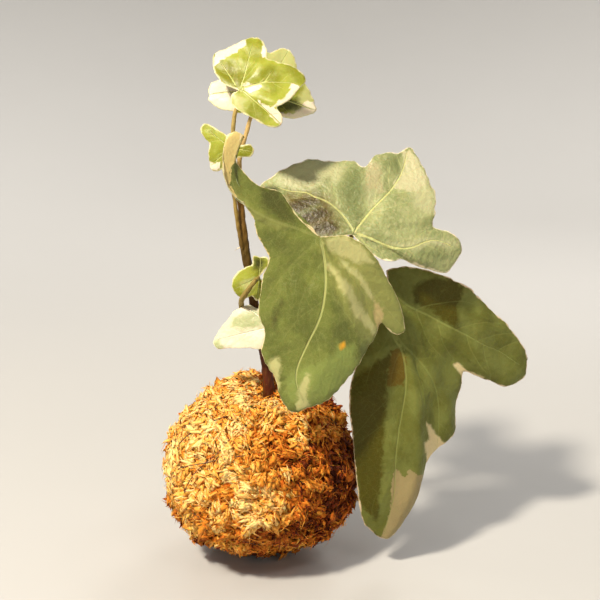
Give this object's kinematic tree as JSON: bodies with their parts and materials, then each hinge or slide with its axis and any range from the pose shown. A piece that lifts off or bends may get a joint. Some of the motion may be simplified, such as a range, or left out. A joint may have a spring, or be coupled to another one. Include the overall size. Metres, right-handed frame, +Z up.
{
  "type": "kokedama moss ball plant",
  "caption": "Variegated ivy growing upright from a lumpy ball of dry golden moss bound with fine thread, resting on a small flat spot.",
  "frame": {"origin": "middle of the flat spot that the moss ball rests on, in the plane of the table", "axes": "+Z up along the plant, +X to the right seen from the front, where the upper faces of the leaves look towards -Y"},
  "size_m": [0.152, 0.0796, 0.2114],
  "materials": {
    "moss": "dry and flaky",
    "soil": "matte",
    "thread": "matte",
    "stem": "satin bark",
    "green_leaf": "satin, variegated with cream",
    "young_leaf": "glossy, cream margin",
    "cream_leaf": "satin"
  },
  "bodies": {
    "root": {"soil_ball": "soil", "moss_wrap": "moss", "binding_thread": "thread", "ivy_stem": "stem", "blade_front": "green_leaf", "blade_upper_right": "green_leaf", "blade_lower_right": "green_leaf", "blade_top_front": "young_leaf", "blade_top_back": "young_leaf", "blade_young": "young_leaf", "blade_yellow": "young_leaf", "blade_cream": "cream_leaf"}
  },
  "joints": []
}
